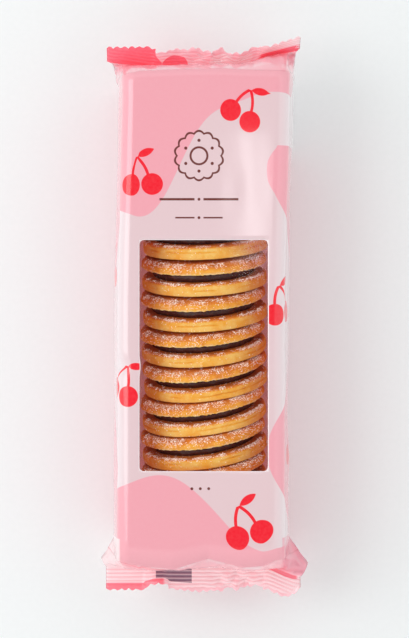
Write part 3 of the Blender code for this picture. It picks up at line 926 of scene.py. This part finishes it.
def film_print(n):
    """Colour of the print, with painted light and shade on the seals, crimps and folds, and of the
    light that comes through the seals.

    Pink wavy fields, red fruit pairs and a few brown ornaments.
    """
    place = n.attribute("print").outputs["Vector"]
    parts = n.add("ShaderNodeSeparateXYZ")
    n.feed(parts.inputs[0], place)
    g, v, crimp = parts.outputs

    def wave(value, length, start, height):
        turned = n.plus(n.math("DIVIDE", value, length), start)
        return n.times(n.math("SINE", turned), height)

    head_line = n.plus(wave(g, 9.5, 0.6, 9.0), wave(g, 4.9, 2.0, 2.5))
    head_line = n.plus(n.plus(head_line, 66.0), n.times(g, 0.75))
    head_field = past(n, v, head_line)
    foot_line = n.plus(wave(g, 10.5, 2.6, 8.0), n.times(g, -0.35))
    foot_line = n.plus(foot_line, -72.0)
    foot_field = past(n, foot_line, v)
    right_line = n.plus(wave(v, 17.0, 1.4, 16.0), 41.0)
    right_field = both(n, past(n, g, right_line), n.math("LESS_THAN", v, 66.0))
    left_line = n.plus(wave(v, 15.0, -0.9, 12.0), -45.0)
    left_field = both(n, past(n, left_line, g), n.math("GREATER_THAN", v, -70.0))
    fields = either(n, head_field, foot_field, right_field, left_field)
    # Paler towards both sides: partly unprinted film, partly a painted sheen like the softbox's on
    # the left fold
    beside = n.ramp(n.size(g), 26.0, 34.0)
    plain = n.mix(n.times(beside, 0.8), PALE_PINK, srgb(242, 231, 234))
    colour = n.mix(fields, plain, MID_PINK)
    # The seals are paler, a painted light for the light that comes through the thin film; they also
    # have deep pink and nearly white parts
    seals = n.ramp(n.size(v), 112.0, 118.0)
    colour = n.mix(n.times(seals, 0.5), colour, srgb(255, 214, 220))
    # Painted light and shade: lighter and darker angular patches at both ends, for the facets of
    # crumpled film
    cells = n.fill(n.add("ShaderNodeTexVoronoi"), Vector=place, Scale=0.13)
    patch = n.add("ShaderNodeSeparateColor")
    n.feed(patch.inputs[0], cells.outputs["Color"])
    ends = n.ramp(n.size(v), 95.0, 98.0)
    light, dark = (n.times(n.times(ends, patch.outputs[k]), 0.4) for k in (0, 1))
    colour = n.mix(light, colour, srgb(254, 224, 228))
    # painted shade on the darker facets, left out on the seals
    dark = n.times(dark, n.minus(1.0, seals))
    colour = n.mix(dark, colour, srgb(240, 140, 160))
    # Deep pink on the head seal: print, and at its right (20 mm across and more) a painted shade for
    # the groove where the fin bends up
    head_deep = both(
        n,
        n.math("GREATER_THAN", v, 117.0),
        either(
            n, n.ramp(n.plus(g, wave(v, 2.5, 0.0, 1.2)), -17.4, -17.8),
            inside(n, circle(n, g, v, -11.5, 121.5), 5.0),
            both(n, n.ramp(g, 20.0, 23.0), n.ramp(v, 123.4, 122.8)),
        ),
    )
    foot_deep = both(n, n.ramp(v, -126.5, -126.7), n.ramp(g, -15.5, -16.5))
    # Painted shadow: a slanted deep pink band across the foot seal's right part, where its fold is
    # shaded
    slant = n.plus(v, n.times(n.minus(g, 24.0), 0.012))
    painted_fold_shadow = both(n, n.ramp(slant, -117.5, -119.5), n.ramp(slant, -121.5, -121.0))
    foot_fold_shadow = both(n, painted_fold_shadow, n.ramp(g, 22.0, 24.0), n.ramp(g, 54.0, 50.0))
    colour = n.mix(n.times(head_deep, 0.95), colour, DEEP_PINK)
    colour = n.mix(n.times(either(n, foot_deep, foot_fold_shadow), 0.8), colour, DEEP_PINK)
    foot_pale = both(n, n.ramp(v, -117.5, -119.0), n.ramp(v, -128.6, -128.0))
    left_ear = both(n, n.ramp(g, -31.0, -31.6), n.ramp(v, -84.0, -84.6), n.ramp(v, -121.0, -120.0))
    right_ear = both(n, n.ramp(g, 31.0, 31.6), n.ramp(v, -84.0, -84.6), n.ramp(v, -119.6, -119.0))
    colour = n.mix(n.times(right_ear, 0.55), colour, srgb(240, 132, 154))
    spots = either(
        n, inside(n, circle(n, g, v, 7.0, 122.0), 5.6), inside(n, circle(n, g, v, 15.0, 124.0), 3.6),
        both(n, n.ramp(g, 20.0, 23.0), n.ramp(v, 123.6, 124.2)), left_ear,
        n.times(foot_pale, n.minus(0.75, either(n, foot_deep, foot_fold_shadow))),
    )
    colour = n.mix(spots, colour, srgb(252, 220, 223))
    # Painted shade: a darker pink line just past the panel's crease at both ends, where the fold is
    # shaded
    beyond = n.minus(n.size(v), 94.1)
    crease = n.times(inside(n, n.size(beyond), 0.5, 0.3), 0.5)
    colour = n.mix(crease, colour, srgb(226, 120, 134))
    # Painted shade: the crimps' valleys darker and deeper pink
    painted_valley_shade = n.ramp(crimp, 0.0, -0.8)
    colour = n.mix(n.times(painted_valley_shade, 0.34), colour, n.mix(0.75, colour, srgb(238, 62, 92)))
    fruit = [cherry_pair(n, g, v, *place) for place in FRUIT_PAIRS]
    colour = n.mix(either(n, *fruit), colour, RED)
    colour = n.mix(window_line(n, g, v), colour, srgb(250, 232, 234))
    # The machine-read block is print, painted paler on the crimps' ridges as a painted highlight
    mark_with_ridge_highlight = n.times(foot_mark(n, g, v), n.ramp(crimp, 2.2, -0.3))
    colour = n.mix(ornament(n, g, v), n.mix(mark_with_ridge_highlight, colour, MARK), BROWN)
    return colour, n.mix(seals, (0.0, 0.0, 0.0, 1.0), n.mix(0.25, colour, srgb(255, 200, 206)))


def window_line(n, g, v):
    """A thin pale line round the window."""
    offset = centre_line(0.0)
    middle = (WINDOW_LOW + WINDOW_HIGH) / 2
    size = (WINDOW_HIGH - WINDOW_LOW) / 2
    dg = n.size(n.minus(g, (middle.x - offset) / MM))
    dv = n.size(n.minus(v, middle.y / MM))
    beyond = n.math("MAXIMUM", n.minus(dg, size.x / MM), n.minus(dv, size.y / MM))
    return inside(n, beyond, 0.35, 0.1)


def ornament(n, g, v):
    """A scalloped biscuit with a round hole, thin rules and dots, in place of wording."""
    mid_g, mid_v = ORNAMENT_AT
    far = circle(n, g, v, mid_g, mid_v)
    angle = n.math("ARCTAN2", n.minus(v, mid_v), n.minus(g, mid_g))
    scallop = n.times(n.size(n.math("SINE", n.times(angle, 7.0))), 0.9)
    edge = n.minus(far, scallop)
    ring = both(n, inside(n, edge, 8.8), n.ramp(edge, 7.9, 8.1))
    hole = both(n, inside(n, far, 3.6), n.ramp(far, 2.7, 2.9))
    marks = [ring, hole]
    for k in range(6):
        turn = math.radians(60 * k + 30)
        spot = circle(n, g, v, mid_g + 5.8 * math.cos(turn), mid_v + 5.8 * math.sin(turn))
        marks.append(inside(n, spot, 0.6, 0.1))
    across = n.size(n.minus(g, mid_g))
    for at_v, half, thick in ((45.5, 15.0, 0.45), (38.5, 9.0, 0.3)):
        high = inside(n, n.size(n.minus(v, at_v)), thick, 0.06)
        marks.append(both(n, high, inside(n, across, half, 0.2), n.ramp(across, 1.6, 1.8)))
        marks.append(inside(n, circle(n, g, v, mid_g, at_v), 0.55, 0.1))
    for k in (-1, 0, 1):
        marks.append(inside(n, circle(n, g, v, -0.3 + 3.2 * k, -64.5), 0.55, 0.1))
    return either(n, *marks)


def foot_mark(n, g, v):
    """The plain dark block on the foot seal that a packing machine reads."""
    wide = n.math("LESS_THAN", n.size(n.plus(g, 12.0)), 7.0)
    low = n.math("LESS_THAN", n.size(n.plus(v, 123.2)), 3.2)
    return both(n, wide, low)


def film_looks():
    """The printed side, the unprinted inside, and the clear window."""
    n = Nodes("printed_film")
    colour, glow = film_print(n)
    coords = n.coords()
    grain = n.noise(coords, 900.0, 2.0)
    colour = n.mix(n.times(grain, 0.05), colour, srgb(255, 250, 250))
    wrinkle = n.noise(coords, 160.0, 3.0, 0.6)
    n.set(Base_Color=colour, Roughness=0.30, Normal=n.bump(wrinkle, 0.03, 0.0006))
    n.set(Emission_Color=glow, Emission_Strength=0.12)  # light through the thin seals
    printed = n.set(Coat_Weight=1.0, Coat_Roughness=0.09, Specular_IOR_Level=0.12)

    n = Nodes("film_inside")
    mottle = n.noise(n.coords(), 220.0, 3.0)
    colour = n.mix(mottle, srgb(244, 196, 204), srgb(250, 210, 216))
    # Painted light: a pink glow for the light that comes through the thin film from outside
    n.set(Emission_Color=(1.0, 0.60, 0.62, 1.0), Emission_Strength=0.13)
    unprinted = n.set(Base_Color=colour, Roughness=0.35)

    n = Nodes("clear_film")
    see = n.add("ShaderNodeBsdfTransparent")
    return [printed, unprinted, sheen_over(n, see, 90.0, 0.0006, 0.09, 5.0, 0.6)]


def sheen_over(n, clear, wave_scale, relief, roughness, power, strength):
    """A look with a gloss over a clear shader that grows where it is seen at a slant."""
    normal = n.bump(n.noise(n.coords(), wave_scale), 0.10, relief)
    gloss = n.fill(n.add("ShaderNodeBsdfGlossy"), Roughness=roughness, Normal=normal)
    edge = n.fill(n.add("ShaderNodeLayerWeight"), Blend=0.5)
    slant = n.math("POWER", edge.outputs["Facing"], power)
    mixed = n.add("ShaderNodeMixShader")
    n.feed(mixed.inputs[0], n.plus(n.times(slant, strength), 0.03))
    n.feed(mixed.inputs[1], clear.outputs[0])
    n.feed(mixed.inputs[2], gloss.outputs[0])
    n.feed(n.output.inputs["Surface"], mixed.outputs[0])
    n.tree.nodes.remove(n.shader)
    return n.look


def tray_look():
    n = Nodes("clear_tray")
    see = n.fill(n.add("ShaderNodeBsdfTransparent"), Color=srgb(252, 244, 246))
    haze = n.fill(n.add("ShaderNodeBsdfDiffuse"), Color=srgb(246, 208, 212))
    veil = n.fill(n.add("ShaderNodeMixShader"), Fac=0.16)
    n.feed(veil.inputs[1], see.outputs[0])
    n.feed(veil.inputs[2], haze.outputs[0])
    return sheen_over(n, veil, 300.0, 0.0004, 0.15, 4.0, 0.25)


def biscuit_look():
    """Golden crumb, browned and sugared towards the domed face, pale at the broken edge."""
    n = Nodes("biscuit")
    coords = n.coords()
    crust = n.add("ShaderNodeSeparateXYZ")
    n.feed(crust.inputs[0], n.attribute("crust").outputs["Vector"])
    brown, broken, sugared = crust.outputs
    mottle = n.noise(coords, 420.0, 4.0, 0.65)
    fine = n.noise(coords, 1900.0, 3.0, 0.6)
    level = n.plus(brown, n.times(n.minus(mottle, 0.5), 0.55))
    golden = n.mix(n.ramp(level, 0.0, 0.30), srgb(255, 204, 108), srgb(252, 174, 54))
    toasted = n.mix(n.ramp(level, 0.26, 0.62), golden, srgb(232, 130, 26))
    dark = n.mix(n.ramp(level, 0.66, 1.10), toasted, srgb(184, 86, 24))
    crumb = n.mix(n.times(n.ramp(fine, 0.45, 0.75), 0.20), dark, srgb(252, 210, 130))
    edge = n.times(broken, n.ramp(n.noise(coords, 800.0, 2.0), 0.40, 0.60))
    colour = n.mix(n.times(edge, 0.75), crumb, srgb(252, 222, 176))
    dust = n.times(sugared, n.ramp(n.noise(coords, 1300.0, 3.0, 0.7), 0.52, 0.64))
    colour = n.mix(n.times(dust, 0.38), colour, srgb(252, 226, 196))
    height = n.plus(n.times(mottle, 0.6), n.times(fine, 0.4))
    n.set(Base_Color=colour, Roughness=0.72, Normal=n.bump(height, 0.8, 0.0004))
    return n.set(
        Specular_IOR_Level=0.35, Subsurface_Weight=0.12, Subsurface_Scale=0.002,
        Subsurface_Radius=(1.0, 0.45, 0.2),
    )


def jam_look():
    n = Nodes("jam")
    lump = n.noise(n.coords(), 700.0, 3.0, 0.6)
    colour = n.mix(lump, srgb(26, 8, 7), srgb(92, 32, 22))
    return n.set(Base_Color=colour, Roughness=0.22, Normal=n.bump(lump, 0.8, 0.0006))


def sugar_look():
    n = Nodes("sugar")
    tint = n.noise(n.coords(), 1500.0, 1.0)
    colour = n.mix(tint, srgb(255, 240, 220), srgb(255, 252, 246))
    # Painted light: a weak glow in place of the light the crystals scatter
    n.set(Emission_Color=(1.0, 0.96, 0.90, 1.0), Emission_Strength=0.18)
    return n.set(Base_Color=colour, Roughness=0.25, Specular_IOR_Level=0.6)


def floor_look():
    n = Nodes("floor")
    grain = n.noise(n.coords(), 500.0, 3.0)
    colour = n.mix(grain, srgb(242, 245, 245), srgb(246, 249, 249))
    return n.set(Base_Color=colour, Roughness=0.8, Specular_IOR_Level=0.2)


# Stage


def area_light(name, place, aim, size, power, gloss_only=False):
    lamp = bpy.data.lights.new(name, "AREA")
    lamp.shape = "RECTANGLE"
    lamp.size, lamp.size_y = size
    lamp.energy = power
    made = add_object(name, lamp)
    made.visible_diffuse = not gloss_only
    made.location = place
    made.rotation_euler = (Vector(aim) - Vector(place)).to_track_quat("-Z", "Y").to_euler()


def add_stage():
    mesh = bpy.data.meshes.new("floor")
    corners = [(x * FLOOR_REACH, y * FLOOR_REACH, 0) for x, y in ((-1, -1), (1, -1), (1, 1), (-1, 1))]
    mesh.from_pydata(corners, [], [(0, 1, 2, 3)])
    mesh.materials.append(floor_look())
    floor = add_object("floor", mesh)
    floor.location.z = -FLOOR_DROP
    add_studio()


def add_studio():
    """Pale walls with a dimmer ceiling, a softbox and its sheen to the left, and a glare strip."""
    world = bpy.data.worlds.new("studio")
    world.use_nodes = True
    tree = world.node_tree
    coords = tree.nodes.new("ShaderNodeTexCoord")
    parts = tree.nodes.new("ShaderNodeSeparateXYZ")
    tree.links.new(coords.outputs["Generated"], parts.inputs[0])
    height = tree.nodes.new("ShaderNodeMapRange")
    height.interpolation_type = "SMOOTHSTEP"
    for name, value in {"From Min": 0.84, "From Max": 0.96, "To Min": 1.06, "To Max": 0.12}.items():
        height.inputs[name].default_value = value
    tree.links.new(parts.outputs["Z"], height.inputs["Value"])
    tree.links.new(height.outputs["Result"], tree.nodes["Background"].inputs["Strength"])
    tree.nodes["Background"].inputs["Color"].default_value = (0.985, 1.0, 1.0, 1.0)
    bpy.context.scene.world = world
    left, pack = (-0.72, 0.10, 0.80), (0.0, 0.0, 0.03)
    area_light("left_softbox", left, pack, (0.56, 0.60), 2.3)
    area_light("left_sheen", left, pack, (0.42, 0.78), 2.8, gloss_only=True)
    area_light("glare_strip", (0.0255, 0.062, 0.40), (0.0255, 0.062, 0.0), (0.014, 0.072), 0.017)


def add_camera():
    data = bpy.data.cameras.new("camera")
    data.sensor_width = SENSOR
    data.lens = SENSOR / 2 * CAMERA_ABOVE_PACK / (VIEW_LENGTH / 2)
    data.clip_start, data.clip_end = 0.05, 10.0
    camera = add_object("camera", data)
    camera.location = (0.0, 0.0, PACK_HEIGHT + CAMERA_ABOVE_PACK)
    bpy.context.scene.camera = camera


def main():
    add_film(film_looks())
    add_tray(tray_look())
    add_sandwiches({"biscuit": biscuit_look(), "jam": jam_look(), "sugar": sugar_look()})
    add_stage()
    add_camera()
    bpy.context.scene.view_settings.view_transform = "Standard"


main()
